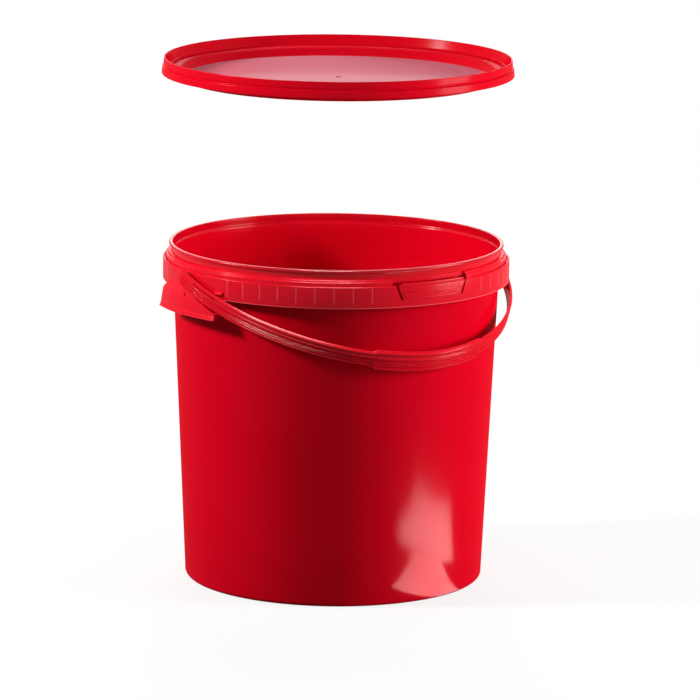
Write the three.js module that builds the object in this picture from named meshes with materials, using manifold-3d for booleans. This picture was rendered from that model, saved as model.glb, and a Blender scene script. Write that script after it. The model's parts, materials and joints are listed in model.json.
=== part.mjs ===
// A round moulded bucket with a lid that pulls off upwards and a strap handle that swings.
// Millimetres, +Z up. The origin is on the bucket's axis in the plane that it stands on.
// X runs along the handle's pivots, and the hanging handle and the pull tab are towards -Y.
import * as THREE from 'three';
import { mergeVertices } from 'three/addons/utils/BufferGeometryUtils.js';
import Module from 'manifold-3d';

const wasm = await Module();
wasm.setup();

// The bucket's wall, floor and foot ring
const bucketHeight = 319.5;
const baseRadius = 140.5;
const wallSlope = 0.0446;
const wallThickness = 1.9;
const floorThickness = 2.2;
const floorBend = 5;
const footHeight = 3;
const footRingWidth = 4;
const footRingInset = 1.9;
const footRingSlant = 1;
const heelHeight = 4;
const heelRound = 0.2;

// The neck that the lid's plug enters, and the bead round its edge
const neckHeight = 8;
const neckStep = 1.307;
const neckThickness = 1.7;
const neckBend = 1;
const beadHeight = 3.2;
const beadOverhang = 1.85;
const beadRound = 0.7;

// The stepped ledge below the neck, and the collar that hangs from it across a channel
const ledgeDrop = 9.1;
const ledgeOverhang = 3;
const ledgeShelf = 1.8;
const ledgeStep = 1.7;
const ledgeSkin = 1.7;
const channelWidth = 1.1;
const channelDepth = 2;
const collarDrop = 5.3;
const collarHeight = 20.2;
const collarThickness = 1.6;
const ribCount = 58;
const ribThickness = 1.2;
const ribClearOfEdge = 2;
const ribClearOfTab = 4;

// The pull tab, which is cut free of the collar at both sides. Angles are in degrees.
const tabHalfAngle = 13.1;
const tabTaper = 1.9;
const tabHeight = 13.3;
const tabSlotWidth = 2.2;
const tabSlotDepth = 8;
const tabWindowInset = 0.7;
const tabRidgeCount = 5;
const tabRidgeHeight = 0.5;
const tabRidgeInset = 1;

// The shield under each of the handle's pivots. Face and web run outwards from the collar and
// downwards from the shoulder.
const shieldHalfAngle = 15.8;
const shieldThickness = 1.8;
const shieldDrop = 5;
const shieldHeight = 26;
const shieldFlare = 9;
const shieldDip = 4;
const shieldBead = 0.9;
const shieldRoot = 3.4;
const shieldSink = 0.4;
const shieldFace = [[0.8, 0.4], [3.2, 3], [6, 7.5], [7.6, 17]];
const shieldInnerDrops = [4.4, 8, 17];
const shieldWeb = [[6.8, 17], [5.2, 7.8], [2.4, 3.6]];
const shieldWebInset = 1;
const lugHeight = 2.4;
const lugLength = 9;
const lugThickness = 4;
const lugRound = 0.8;
const lugAngle = 15.3;
const lugDrop = 8;

// The handle, a flat strap bent to half an ellipse
const strapWidth = 17;
const strapThickness = 2.6;
const strapGroove = 0.5;
const strapRidges = 5;
const strapTail = 6.5;
const strapTailShare = 0.012;
const strapStandOff = 3.7;
const handleBow = 5.5;
const handleDrop = 22;
const gripWidth = 19.6;
const gripThickness = 3.4;
const gripLength = 128;
const pinRadius = 3;
const pinHeadRadius = 4;
const pinHeadThickness = 2;
const pinSink = 0.8;
const bossWall = 1.9;
const bossSink = 0.6;

// The lid: an upper and a lower skirt, a ledge over the bead and a sunk panel
const lidHeight = 15;
const lidSkin = 1.7;
const lidRimWidth = 1.3;
const lidHollowWidth = 3.15;
const lidUpperFlare = 0.5;
const lidSkirtStep = 2.2;
const lidGrooveDepth = 6.9;
const lidGrooveWidth = 0.7;
const lidSnapDrop = 1;
const lidLedgeDepth = 9.3;
const lidLedgeBend = 1;
const lidLedgeOverSnap = 0.55;
const lidPlugInset = 4.6;
const lidPlugRound = 3.4;
const lidPanelStep = 4.3;
const lidPanelDepth = 18.6;
const lidSeatRecess = 0.6;

// Clearances
const seatGap = 0.3;
const pivotClearance = 0.3;
const snapClearance = 0.5;
const handleOverCollar = 0.5;
const strapOverShield = 0.35;
const strapBehindShield = 0.4;
const pinHeadRoom = 0.4;
const handleUnderLid = 1;

// Small rounds, how far a cutting block reaches past what it cuts, and the smoothness of round pieces
const edgeRound = 0.4;
const cutMargin = 2;
const turnSegments = 72;
const handleSegments = 36;
const gripSegments = 10;
const pinSegments = 24;
const joiningDistance = 0.001;
const solidJoiningDistance = 0.0001;

const red = { color: 0xcc0418, metalness: 0, roughness: 0.32 };
const degrees = Math.PI / 180;

// Heights that follow from the bucket's
const floorTop = footHeight + floorThickness;
const neckBottom = bucketHeight - neckHeight;
const ledgeTop = bucketHeight - ledgeDrop;
const ledgeUnderside = ledgeTop - ledgeStep - ledgeSkin;
const collarTop = ledgeTop - collarDrop;
const collarBottom = collarTop - collarHeight;
const channelBottom = collarTop - channelDepth;
const tabBottom = collarTop - tabHeight;
const pivotHeight = channelBottom - ledgeSkin - pinHeadRadius - pinHeadRoom;
const shieldShoulder = pivotHeight - shieldDrop;
const shieldBottom = shieldShoulder - shieldHeight;

// Radii that follow from the wall's
const wallOuterRadius = (height) => baseRadius + wallSlope * height;
const wallInnerRadius = (height) => wallOuterRadius(height) - wallThickness;
const neckInnerRadius = wallInnerRadius(neckBottom) + neckStep;
const neckOuterRadius = neckInnerRadius + neckThickness;
const beadOuterRadius = neckOuterRadius + beadOverhang;
const ledgeFirstRadius = neckOuterRadius + ledgeOverhang;
const ledgeOuterRadius = ledgeFirstRadius + ledgeShelf;
const collarInnerRadius = ledgeOuterRadius + channelWidth;
const collarRadius = collarInnerRadius + collarThickness;
const shieldLipRadius = collarRadius + shieldFlare;
const strapInnerFace = collarRadius + strapStandOff;
const handleHalfSpan = strapInnerFace + strapThickness / 2;
const handleReach = handleHalfSpan + handleBow;
const bossRadius = pinRadius + pivotClearance + bossWall;
const bossFace = strapInnerFace - handleOverCollar;

const solidOf = (geometry) => {
  geometry.deleteAttribute('normal');
  geometry.deleteAttribute('uv');
  const merged = mergeVertices(geometry, solidJoiningDistance);
  const vertProperties = new Float32Array(merged.attributes.position.array);
  const triVerts = new Uint32Array(merged.index.array);
  return new wasm.Manifold(new wasm.Mesh({ numProp: 3, vertProperties, triVerts }));
};

const geometryOf = (solid) => {
  const { vertProperties, triVerts } = solid.getMesh();
  const geometry = new THREE.BufferGeometry();
  geometry.setAttribute('position', new THREE.BufferAttribute(new Float32Array(vertProperties), 3));
  geometry.setIndex(new THREE.BufferAttribute(new Uint32Array(triVerts), 1));
  return geometry;
};

// Corners closer than the joining distance become one, and faces left without an area go.
const meshOf = (name, solid) => {
  const geometry = mergeVertices(geometryOf(solid), joiningDistance);
  const corners = geometry.index.array;
  const kept = [];
  for (let index = 0; index < corners.length; index += 3) {
    const [a, b, c] = corners.slice(index, index + 3);
    if (a !== b && b !== c && c !== a) kept.push(a, b, c);
  }
  geometry.setIndex(kept);
  geometry.computeVertexNormals();
  const mesh = new THREE.Mesh(geometry, new THREE.MeshStandardMaterial(red));
  mesh.name = name;
  return mesh;
};

// Turns a closed profile of [radius, height] points, given in either order, about the Z axis.
const turned = (profile, segments = turnSegments) => {
  const points = profile.map(([radius, height]) => new THREE.Vector2(radius, height));
  if (THREE.ShapeUtils.isClockWise(points)) points.reverse();
  const first = points[0];
  const last = points[points.length - 1];
  const endsOnAxis = first.x === 0 && last.x === 0;
  if (!endsOnAxis) points.push(first.clone());
  return new THREE.LatheGeometry(points, segments).rotateX(Math.PI / 2);
};

// A cylinder along X between two places on that axis, at the height of the pivots
const pivotCylinder = (radius, from, to) => {
  const cylinder = new THREE.CylinderGeometry(radius, radius, Math.abs(to - from), pinSegments);
  cylinder.rotateZ(Math.PI / 2);
  return solidOf(cylinder.translate((from + to) / 2, 0, pivotHeight));
};

// A block that takes in every point between two angles from -Y, out to beyond the whole bucket
const sector = (middleAngle, halfAngle, low, high) => {
  const reach = 2 * collarRadius;
  const halfWidth = reach * Math.tan(halfAngle * degrees);
  const outline = new THREE.Shape();
  outline.moveTo(0, 0);
  outline.lineTo(-halfWidth, -reach);
  outline.lineTo(halfWidth, -reach);
  const wedge = new THREE.ExtrudeGeometry(outline, { depth: high - low, bevelEnabled: false });
  return solidOf(wedge.translate(0, 0, low).rotateZ(middleAngle * degrees));
};

// Wall, floor, foot ring, neck, bead, ledge and collar are one turned profile.
const bucketShell = () => {
  const footRingOuter = baseRadius - footRingInset;
  const footRingInner = footRingOuter - footRingWidth;
  const heelMiddle = 0.4 * heelHeight;
  const bendMiddle = 0.3 * floorBend;
  const ledgeOuterInside = ledgeOuterRadius - ledgeSkin;
  return solidOf(turned([
    [0, footHeight],
    [footRingInner - footRingSlant, footHeight],
    [footRingInner, 0],
    [footRingOuter, 0],
    [wallOuterRadius(heelMiddle) - heelRound, heelMiddle],
    [wallOuterRadius(heelHeight), heelHeight],
    [wallOuterRadius(ledgeUnderside), ledgeUnderside],
    [ledgeOuterInside, ledgeUnderside],
    [ledgeOuterInside, channelBottom - ledgeSkin],
    [collarInnerRadius, channelBottom - ledgeSkin],
    [collarInnerRadius, collarBottom],
    [collarRadius, collarBottom],
    [collarRadius, collarTop - edgeRound],
    [collarRadius - edgeRound, collarTop],
    [collarInnerRadius + edgeRound / 2, collarTop],
    [collarInnerRadius, channelBottom],
    [ledgeOuterRadius, channelBottom],
    [ledgeOuterRadius, ledgeTop - ledgeStep],
    [ledgeFirstRadius, ledgeTop - ledgeStep + edgeRound],
    [ledgeFirstRadius, ledgeTop],
    [neckOuterRadius, ledgeTop + edgeRound],
    [neckOuterRadius, bucketHeight - beadHeight],
    [beadOuterRadius, bucketHeight - beadHeight + edgeRound],
    [beadOuterRadius, bucketHeight - beadRound],
    [beadOuterRadius - beadRound, bucketHeight],
    [neckInnerRadius + beadRound, bucketHeight],
    [neckInnerRadius, bucketHeight - beadRound],
    [neckInnerRadius, neckBottom + neckBend],
    [wallInnerRadius(neckBottom), neckBottom - neckBend],
    [wallInnerRadius(floorTop + floorBend), floorTop + floorBend],
    [wallInnerRadius(floorTop) - bendMiddle, floorTop + bendMiddle],
    [wallInnerRadius(floorTop) - floorBend, floorTop],
    [0, floorTop],
  ]));
};

// Thin upright webs tie the collar to the wall, but not behind the tab or the pivots.
const ribs = () => {
  const inner = wallOuterRadius(collarBottom) - wallThickness / 4;
  const outer = collarInnerRadius + collarThickness / 3;
  const low = collarBottom + ribClearOfEdge;
  const high = channelBottom - ledgeSkin / 2;
  const rib = new THREE.BoxGeometry(ribThickness, outer - inner, high - low);
  rib.translate(0, -(inner + outer) / 2, (low + high) / 2);
  const pitch = 360 / ribCount;
  let all = null;
  for (let index = 0; index < ribCount; index++) {
    const angle = (index + 0.5) * pitch;
    const fromTab = Math.min(angle, 360 - angle);
    const fromPivot = (angle + 90) % 180;
    const nearPivot = Math.min(fromPivot, 180 - fromPivot) < shieldHalfAngle + 1;
    if (fromTab < tabHalfAngle + ribClearOfTab || nearPivot) continue;
    const solid = solidOf(rib.clone().rotateZ(angle * degrees));
    all = all ? all.add(solid) : solid;
  }
  return all;
};

// The ledge is cut back behind the tab, and a slanted slot frees each side of the tab.
const withTab = (bucket) => {
  const slotAngle = tabSlotWidth / collarRadius / degrees;
  const windowInner = neckOuterRadius + tabWindowInset;
  const windowBottom = channelBottom - ledgeSkin - cutMargin / 2;
  const windowTop = ledgeTop + cutMargin;
  const behind = solidOf(turned([
    [windowInner, windowBottom],
    [collarInnerRadius, windowBottom],
    [collarInnerRadius, windowTop],
    [windowInner, windowTop],
  ]));
  const window = sector(0, tabHalfAngle + slotAngle, tabBottom, windowTop + cutMargin);
  let result = bucket.subtract(behind.intersect(window));
  const slotHeight = windowTop - tabBottom + cutMargin;
  const slotFoot = tabTaper * collarRadius * degrees;
  const slotLean = Math.atan2(slotFoot, collarTop - tabBottom);
  for (const side of [-1, 1]) {
    const slot = new THREE.BoxGeometry(tabSlotWidth, tabSlotDepth, slotHeight);
    slot.translate(0, 0, slotHeight / 2).rotateY(side * slotLean);
    slot.translate(-side * slotFoot, -collarRadius, tabBottom);
    slot.rotateZ(side * (tabHalfAngle + slotAngle / 2) * degrees);
    result = result.subtract(solidOf(slot));
  }
  const pitch = (collarTop - tabBottom) / (tabRidgeCount + 1);
  const tabFace = sector(0, tabHalfAngle - tabTaper - tabRidgeInset, tabBottom, collarTop);
  for (let index = 1; index <= tabRidgeCount; index++) {
    const height = tabBottom + index * pitch;
    const ridge = solidOf(turned([
      [collarRadius - tabRidgeHeight, height - tabRidgeHeight],
      [collarRadius + tabRidgeHeight, height],
      [collarRadius - tabRidgeHeight, height + tabRidgeHeight],
    ]));
    result = result.add(ridge.intersect(tabFace));
  }
  return result;
};

// Lets the lower part of a turned shield sink towards the middle of each side.
const dipped = (geometry) => {
  const place = geometry.attributes.position;
  for (let index = 0; index < place.count; index++) {
    const angle = Math.asin(Math.min(1, Math.abs(place.getY(index)) / shieldLipRadius)) / degrees;
    const across = 1 - (angle / shieldHalfAngle) ** 2;
    const down = (shieldShoulder - place.getZ(index)) / shieldHeight;
    place.setZ(index, place.getZ(index) - shieldDip * Math.max(0, across) * Math.max(0, down));
  }
  return geometry;
};

// A curved plate swells from the collar to a lip with two beads, and a web closes each of its ends.
const shields = () => {
  const fromShoulder = ([out, down]) => [collarRadius + out, shieldShoulder - down];
  const innerFace = shieldInnerDrops.map((down, index) => {
    return fromShoulder([shieldFace[index + 1][0] - shieldThickness, down]);
  });
  const plate = turned([
    [collarInnerRadius + shieldSink, shieldShoulder - shieldRoot],
    [collarInnerRadius + shieldSink, shieldShoulder],
    ...shieldFace.map(fromShoulder),
    [shieldLipRadius - shieldBead, shieldBottom + 4 * shieldBead],
    [shieldLipRadius, shieldBottom + 3 * shieldBead],
    [shieldLipRadius - shieldBead / 2, shieldBottom + 2 * shieldBead],
    [shieldLipRadius + shieldBead / 2, shieldBottom + shieldBead],
    [shieldLipRadius, shieldBottom],
    [shieldLipRadius - shieldThickness, shieldBottom],
    ...innerFace.reverse(),
  ]);
  const web = turned([
    [wallInnerRadius(shieldBottom) + shieldSink, shieldBottom + shieldBead],
    [shieldLipRadius - shieldWebInset, shieldBottom + shieldBead],
    ...shieldWeb.map(fromShoulder),
    [collarInnerRadius + shieldSink, shieldShoulder - shieldWebInset],
    [wallInnerRadius(shieldShoulder) + shieldSink, shieldShoulder - shieldWebInset],
  ]);
  const ring = solidOf(dipped(plate));
  const webRing = solidOf(dipped(web));
  const webAngle = shieldThickness / shieldLipRadius / degrees;
  const low = shieldBottom - 2 * shieldDip;
  const high = shieldShoulder + cutMargin;
  let all = null;
  for (const side of [-1, 1]) {
    const whole = sector(side * 90, shieldHalfAngle, low, high);
    const inside = sector(side * 90, shieldHalfAngle - webAngle, low, high);
    const one = ring.add(webRing.subtract(inside)).intersect(whole);
    all = all ? all.add(one) : one;
  }
  return all;
};

// The space that the strap takes at rest and its end takes as it turns, cut from the shields
const strapSpace = () => {
  const outside = shieldLipRadius + shieldHeight;
  const length = handleReach / 2;
  const height = 2 * shieldHeight + strapWidth;
  const slab = new THREE.BoxGeometry(2 * outside, length, height);
  const foot = -strapWidth / 2 - strapOverShield;
  slab.translate(0, strapTail + cutMargin / 2 - length / 2, foot + height / 2);
  slab.rotateX(handleDrop * degrees).translate(0, 0, pivotHeight);
  const turning = Math.hypot(strapTail, strapWidth / 2) + strapOverShield;
  const inner = strapInnerFace - strapBehindShield;
  const ends = [-1, 1].map((side) => pivotCylinder(turning, side * inner, side * outside));
  return { slab: solidOf(slab), ends };
};

const lugs = () => {
  const bottom = pivotHeight - lugDrop;
  const ring = solidOf(turned([
    [collarInnerRadius + shieldSink, bottom],
    [collarRadius + lugHeight - lugRound, bottom],
    [collarRadius + lugHeight, bottom + lugThickness / 2],
    [collarInnerRadius + shieldSink, bottom + lugThickness],
  ]));
  const halfAngle = lugLength / 2 / collarRadius / degrees;
  const parts = [lugAngle - 90, 90 - lugAngle].map((angle) => {
    return ring.intersect(sector(angle, halfAngle, bottom - cutMargin, pivotHeight));
  });
  return parts[0].add(parts[1]);
};

const bucketSolid = () => {
  const { slab, ends } = strapSpace();
  let shieldPair = shields().subtract(slab);
  ends.forEach((end) => { shieldPair = shieldPair.subtract(end); });
  let bucket = withTab(bucketShell().add(ribs()));
  bucket = bucket.add(shieldPair).add(lugs());
  const inner = collarInnerRadius - bossSink;
  for (const side of [-1, 1]) {
    bucket = bucket.add(pivotCylinder(bossRadius, side * inner, side * bossFace));
    const bore = [side * (inner - cutMargin), side * (bossFace + cutMargin)];
    bucket = bucket.subtract(pivotCylinder(pinRadius + pivotClearance, ...bore));
  }
  return bucket;
};

// The strap's middle line: half an ellipse in the XY plane with short straight tails past the pivots
class StrapLine extends THREE.Curve {
  getPoint(t, target = new THREE.Vector3()) {
    const share = strapTailShare;
    if (t < share) return target.set(handleHalfSpan, strapTail * (1 - t / share), 0);
    if (t > 1 - share) return target.set(-handleHalfSpan, strapTail * (1 - (1 - t) / share), 0);
    const angle = Math.PI * (t - share) / (1 - 2 * share);
    return target.set(handleHalfSpan * Math.cos(angle), -handleReach * Math.sin(angle), 0);
  }
}

class GripLine extends THREE.Curve {
  getPoint(t, target = new THREE.Vector3()) {
    const halfAngle = gripLength / 2 / handleReach;
    const angle = Math.PI / 2 + (t - 0.5) * 2 * halfAngle;
    return target.set(handleHalfSpan * Math.cos(angle), -handleReach * Math.sin(angle), 0);
  }
}

// A strap's section: x across the width, y through the thickness, grooved along its outer face
const strapSection = (width, thickness) => {
  const section = new THREE.Shape();
  const halfWidth = width / 2;
  const halfThickness = thickness / 2;
  const pitch = width / strapRidges;
  section.moveTo(-halfWidth, -halfThickness);
  section.lineTo(halfWidth, -halfThickness);
  section.lineTo(halfWidth, halfThickness);
  for (let index = 1; index < strapRidges; index++) {
    const middle = halfWidth - index * pitch;
    section.lineTo(middle + strapGroove, halfThickness);
    section.lineTo(middle, halfThickness - strapGroove);
    section.lineTo(middle - strapGroove, halfThickness);
  }
  section.lineTo(-halfWidth, halfThickness);
  return section;
};

const handleSolid = () => {
  const along = (line, section, steps) => {
    return solidOf(new THREE.ExtrudeGeometry(section, { steps, extrudePath: line, bevelEnabled: false }));
  };
  const strap = along(new StrapLine(), strapSection(strapWidth, strapThickness), handleSegments);
  const grip = along(new GripLine(), strapSection(gripWidth, gripThickness), gripSegments);
  const level = geometryOf(strap.add(grip));
  let handle = solidOf(level.rotateX(handleDrop * degrees).translate(0, 0, pivotHeight));
  const headOuter = collarInnerRadius - bossSink - handleOverCollar;
  for (const side of [-1, 1]) {
    const pin = [side * (headOuter - pinSink), side * (strapInnerFace + pinSink)];
    handle = handle.add(pivotCylinder(pinRadius, ...pin));
    const head = [side * (headOuter - pinHeadThickness), side * headOuter];
    handle = handle.add(pivotCylinder(pinHeadRadius, ...head));
  }
  return handle;
};

// Sizes of the lid that follow from the bucket's. Depths count down from the lid's top edge.
const lidSnapRadius = beadOuterRadius + snapClearance;
const lidTopRadius = lidSnapRadius + lidSkin + lidHollowWidth;
const lidSkirtRadius = lidTopRadius + lidSkirtStep;
const lidLedgeOuterRadius = lidSnapRadius + lidLedgeOverSnap;
const lidLedgeInnerRadius = neckInnerRadius - lidPlugInset;
const lidPanelRadius = lidLedgeInnerRadius - lidPanelStep;
const lidSeatDepth = lidLedgeDepth + lidSeatRecess + lidSkin;
const crownTop = pivotHeight + handleReach + gripThickness / 2;
const lidRestTop = crownTop + handleUnderLid + lidPanelDepth + lidSkin;

const lidSolid = () => {
  const round = lidPlugRound;
  const profile = turned([
    [0, -lidPanelDepth - lidSkin],
    [lidPanelRadius + lidSkin / 2, -lidPanelDepth - lidSkin],
    [lidPanelRadius + lidSkin, -lidPanelDepth - lidSkin / 2],
    [lidLedgeInnerRadius + lidSkin, -lidLedgeDepth - round - lidSkin / 2],
    [lidLedgeInnerRadius + round, -lidSeatDepth],
    [lidSnapRadius, -lidSeatDepth],
    [lidSnapRadius, -lidHeight - lidSnapDrop],
    [lidSnapRadius + lidSkin, -lidHeight - lidSnapDrop],
    [lidSnapRadius + lidSkin, -lidLedgeDepth],
    [lidTopRadius - lidSkin / 2, -lidGrooveDepth - lidSkin],
    [lidSkirtRadius - lidSkin, -lidHeight],
    [lidSkirtRadius, -lidHeight],
    [lidSkirtRadius - lidGrooveWidth, -lidGrooveDepth - 2 * lidGrooveWidth],
    [lidTopRadius, -lidGrooveDepth - lidGrooveWidth],
    [lidTopRadius, -lidGrooveDepth],
    [lidTopRadius + lidUpperFlare, -lidGrooveDepth + lidGrooveWidth],
    [lidTopRadius, -edgeRound],
    [lidTopRadius - edgeRound, 0],
    [lidTopRadius - lidRimWidth, 0],
    [lidLedgeOuterRadius + lidLedgeBend / 2, -lidLedgeDepth + lidLedgeBend],
    [lidLedgeOuterRadius - lidLedgeBend / 2, -lidLedgeDepth],
    [lidLedgeInnerRadius + round * 3 / 4, -lidLedgeDepth - round / 4],
    [lidLedgeInnerRadius + round / 4, -lidLedgeDepth - round / 2],
    [lidLedgeInnerRadius, -lidLedgeDepth - round],
    [lidPanelRadius + 2 * edgeRound, -lidPanelDepth + 2 * edgeRound],
    [lidPanelRadius, -lidPanelDepth],
    [0, -lidPanelDepth],
  ]);
  return solidOf(profile.translate(0, 0, lidRestTop));
};

const bucketWithLid = new THREE.Group();
bucketWithLid.add(meshOf('bucket', bucketSolid()));
bucketWithLid.add(meshOf('lid', lidSolid()));
bucketWithLid.add(meshOf('handle', handleSolid()));

export default bucketWithLid;
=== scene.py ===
import json
import math
import bpy
import bmesh
from mathutils import Matrix, Vector

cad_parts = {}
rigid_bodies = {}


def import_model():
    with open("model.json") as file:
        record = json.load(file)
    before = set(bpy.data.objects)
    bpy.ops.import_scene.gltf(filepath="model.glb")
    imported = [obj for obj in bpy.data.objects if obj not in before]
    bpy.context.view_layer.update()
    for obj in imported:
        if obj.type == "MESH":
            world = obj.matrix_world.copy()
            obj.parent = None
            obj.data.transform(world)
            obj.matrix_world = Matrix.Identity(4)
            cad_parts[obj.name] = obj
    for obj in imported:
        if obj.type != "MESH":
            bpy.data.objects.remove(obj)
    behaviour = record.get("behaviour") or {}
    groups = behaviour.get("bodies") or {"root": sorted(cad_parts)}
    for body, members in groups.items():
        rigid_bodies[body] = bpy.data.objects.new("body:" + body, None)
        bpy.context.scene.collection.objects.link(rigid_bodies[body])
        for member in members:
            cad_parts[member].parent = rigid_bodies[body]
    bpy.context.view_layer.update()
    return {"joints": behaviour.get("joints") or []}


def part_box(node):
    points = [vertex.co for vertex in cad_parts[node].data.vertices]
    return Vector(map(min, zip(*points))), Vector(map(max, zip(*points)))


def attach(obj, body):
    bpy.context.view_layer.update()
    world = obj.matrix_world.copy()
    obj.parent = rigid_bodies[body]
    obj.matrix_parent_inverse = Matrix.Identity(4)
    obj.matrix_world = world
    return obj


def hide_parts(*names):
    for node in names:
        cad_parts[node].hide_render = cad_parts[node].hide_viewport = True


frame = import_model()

mm = 0.001
turn = 2 * math.pi
pivotZ = frame["joints"][0]["pos_m"][2] / mm      # height of the handle's pivots
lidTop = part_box("lid")[1].z / mm                  # the lid's top edge at rest


# Small tools that every piece uses

def addChain(bm, corners, closed=False):
    # corners are (radius, height, rounding) in millimetres, joined by edges in the XZ plane
    verts = [bm.verts.new((x * mm, 0, z * mm)) for x, z, rounding in corners]
    pairs = list(zip(verts, verts[1:]))
    if closed:
        pairs.append((verts[-1], verts[0]))
    for a, b in pairs:
        bm.edges.new((a, b))
    roundings = sorted({rounding for x, z, rounding in corners if rounding})
    for rounding in roundings:
        group = [v for v, corner in zip(verts, corners) if corner[2] == rounding]
        bmesh.ops.bevel(bm, geom=group, offset=rounding * mm, offset_type="OFFSET", segments=4,
                        profile=0.5, affect="VERTICES", material=-1)


def spinWhole(corners, steps, closed=False):
    bm = bmesh.new()
    addChain(bm, corners, closed)
    bmesh.ops.spin(bm, geom=bm.verts[:] + bm.edges[:], axis=(0, 0, 1), cent=(0, 0, 0),
                   angle=turn, steps=steps, use_merge=True)
    bmesh.ops.remove_doubles(bm, verts=bm.verts[:], dist=1e-6)
    return bm


def sectionLoop(bm):
    # the corners of the one closed chain in bm, in order
    start = bm.verts[:][0]
    loop, last, here = [start], None, start
    while True:
        onward = [e.other_vert(here) for e in here.link_edges if e.other_vert(here) is not last]
        last, here = here, onward[0]
        if here is start:
            return loop
        loop.append(here)


def spinPart(corners, middle, half, steps):
    # a closed section swept between two angles from -Y, with a flat face at each end
    bm = bmesh.new()
    addChain(bm, corners, closed=True)
    first = bm.faces.new(sectionLoop(bm))
    start = math.radians(middle - half - 90)
    bmesh.ops.rotate(bm, verts=bm.verts[:], cent=(0, 0, 0), matrix=Matrix.Rotation(start, 3, "Z"))
    bmesh.ops.spin(bm, geom=[first] + first.verts[:] + first.edges[:], axis=(0, 0, 1), cent=(0, 0, 0),
                   angle=math.radians(2 * half), steps=steps, use_merge=False)
    bmesh.ops.remove_doubles(bm, verts=bm.verts[:], dist=1e-7)
    return bm


def meshFrom(bm, name):
    bmesh.ops.recalc_face_normals(bm, faces=bm.faces[:])
    mesh = bpy.data.meshes.new(name)
    bm.to_mesh(mesh)
    bm.free()
    piece = bpy.data.objects.new(name, mesh)
    bpy.context.scene.collection.objects.link(piece)
    return piece


def applyModifiers(piece):
    shown = bpy.context.evaluated_depsgraph_get()
    done = bpy.data.meshes.new_from_object(piece.evaluated_get(shown))
    piece.modifiers.clear()
    piece.data = done


def booleanWith(piece, tool, operation="DIFFERENCE"):
    cut = piece.modifiers.new("cut", "BOOLEAN")
    cut.object = tool
    cut.operation = operation
    cut.solver = "EXACT"
    applyModifiers(piece)
    bpy.data.objects.remove(tool)


def softenEdges(piece, width, angle=30, segments=2):
    bevel = piece.modifiers.new("soft edges", "BEVEL")
    bevel.width = width * mm
    bevel.segments = segments
    bevel.limit_method = "ANGLE"
    bevel.angle_limit = math.radians(angle)
    bevel.use_clamp_overlap = True
    applyModifiers(piece)


def sideName(side):
    return "Left" if side < 0 else "Right"


def finishPiece(piece, node, material):
    piece.data.shade_smooth()
    piece.data.set_sharp_from_angle(angle=math.radians(32))
    piece.data.materials.clear()
    piece.data.materials.append(material)
    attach(piece, node)
    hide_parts(node)
    return piece


def pivotRod(name, radius, fromX, toX, bevel=0.0, segments=48):
    # a round bar along X at the height of the pivots
    bm = bmesh.new()
    bmesh.ops.create_cone(bm, cap_ends=True, segments=segments, radius1=radius * mm, radius2=radius * mm,
                          depth=abs(toX - fromX) * mm)
    if bevel:
        rims = [e for e in bm.edges if abs(e.verts[0].co.z - e.verts[1].co.z) < 1e-7]
        bmesh.ops.bevel(bm, geom=rims, offset=bevel * mm, offset_type="OFFSET", segments=3,
                        profile=0.5, affect="EDGES", material=-1)
    bmesh.ops.rotate(bm, verts=bm.verts[:], cent=(0, 0, 0), matrix=Matrix.Rotation(turn / 4, 3, "Y"))
    bmesh.ops.translate(bm, vec=((fromX + toX) / 2 * mm, 0, pivotZ * mm), verts=bm.verts[:])
    return meshFrom(bm, name)


def addMaths(tree, operation, a, b=None):
    node = tree.nodes.new("ShaderNodeMath")
    node.operation = operation
    for socket, value in zip(node.inputs, (a, b)):
        if isinstance(value, (int, float)):
            socket.default_value = value
        elif value is not None:
            tree.links.new(value, socket)
    return node.outputs[0]


def addFade(tree, value, fromMin, fromMax, toMin=0.0, toMax=1.0, kind="SMOOTHSTEP"):
    node = tree.nodes.new("ShaderNodeMapRange")
    node.interpolation_type = kind
    ends = {"From Min": fromMin, "From Max": fromMax, "To Min": toMin, "To Max": toMax}
    for name, end in ends.items():
        if isinstance(end, (int, float)):
            node.inputs[name].default_value = end
        else:
            tree.links.new(end, node.inputs[name])
    tree.links.new(value, node.inputs["Value"])
    return node.outputs["Result"]


def addColorMix(tree, share, a, b):
    node = tree.nodes.new("ShaderNodeMix")
    node.data_type = "RGBA"
    tree.links.new(share, node.inputs["Factor"])
    for name, color in (("A", a), ("B", b)):
        if isinstance(color, tuple):
            node.inputs[name].default_value = (*color, 1)
        else:
            tree.links.new(color, node.inputs[name])
    return node.outputs["Result"]


def splitPlace(tree):
    # x, y and z of the shaded point, and its distance from the bucket's axis
    place = tree.nodes.new("ShaderNodeTexCoord")
    split = tree.nodes.new("ShaderNodeSeparateXYZ")
    tree.links.new(place.outputs["Object"], split.inputs["Vector"])
    x, y, z = (split.outputs[axis] for axis in "XYZ")
    squares = addMaths(tree, "ADD", addMaths(tree, "MULTIPLY", x, x), addMaths(tree, "MULTIPLY", y, y))
    return x, y, z, addMaths(tree, "SQRT", squares)


# The red plastic: a shared skin of moulding grain, faint flow clouds and handling scuffs

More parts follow.
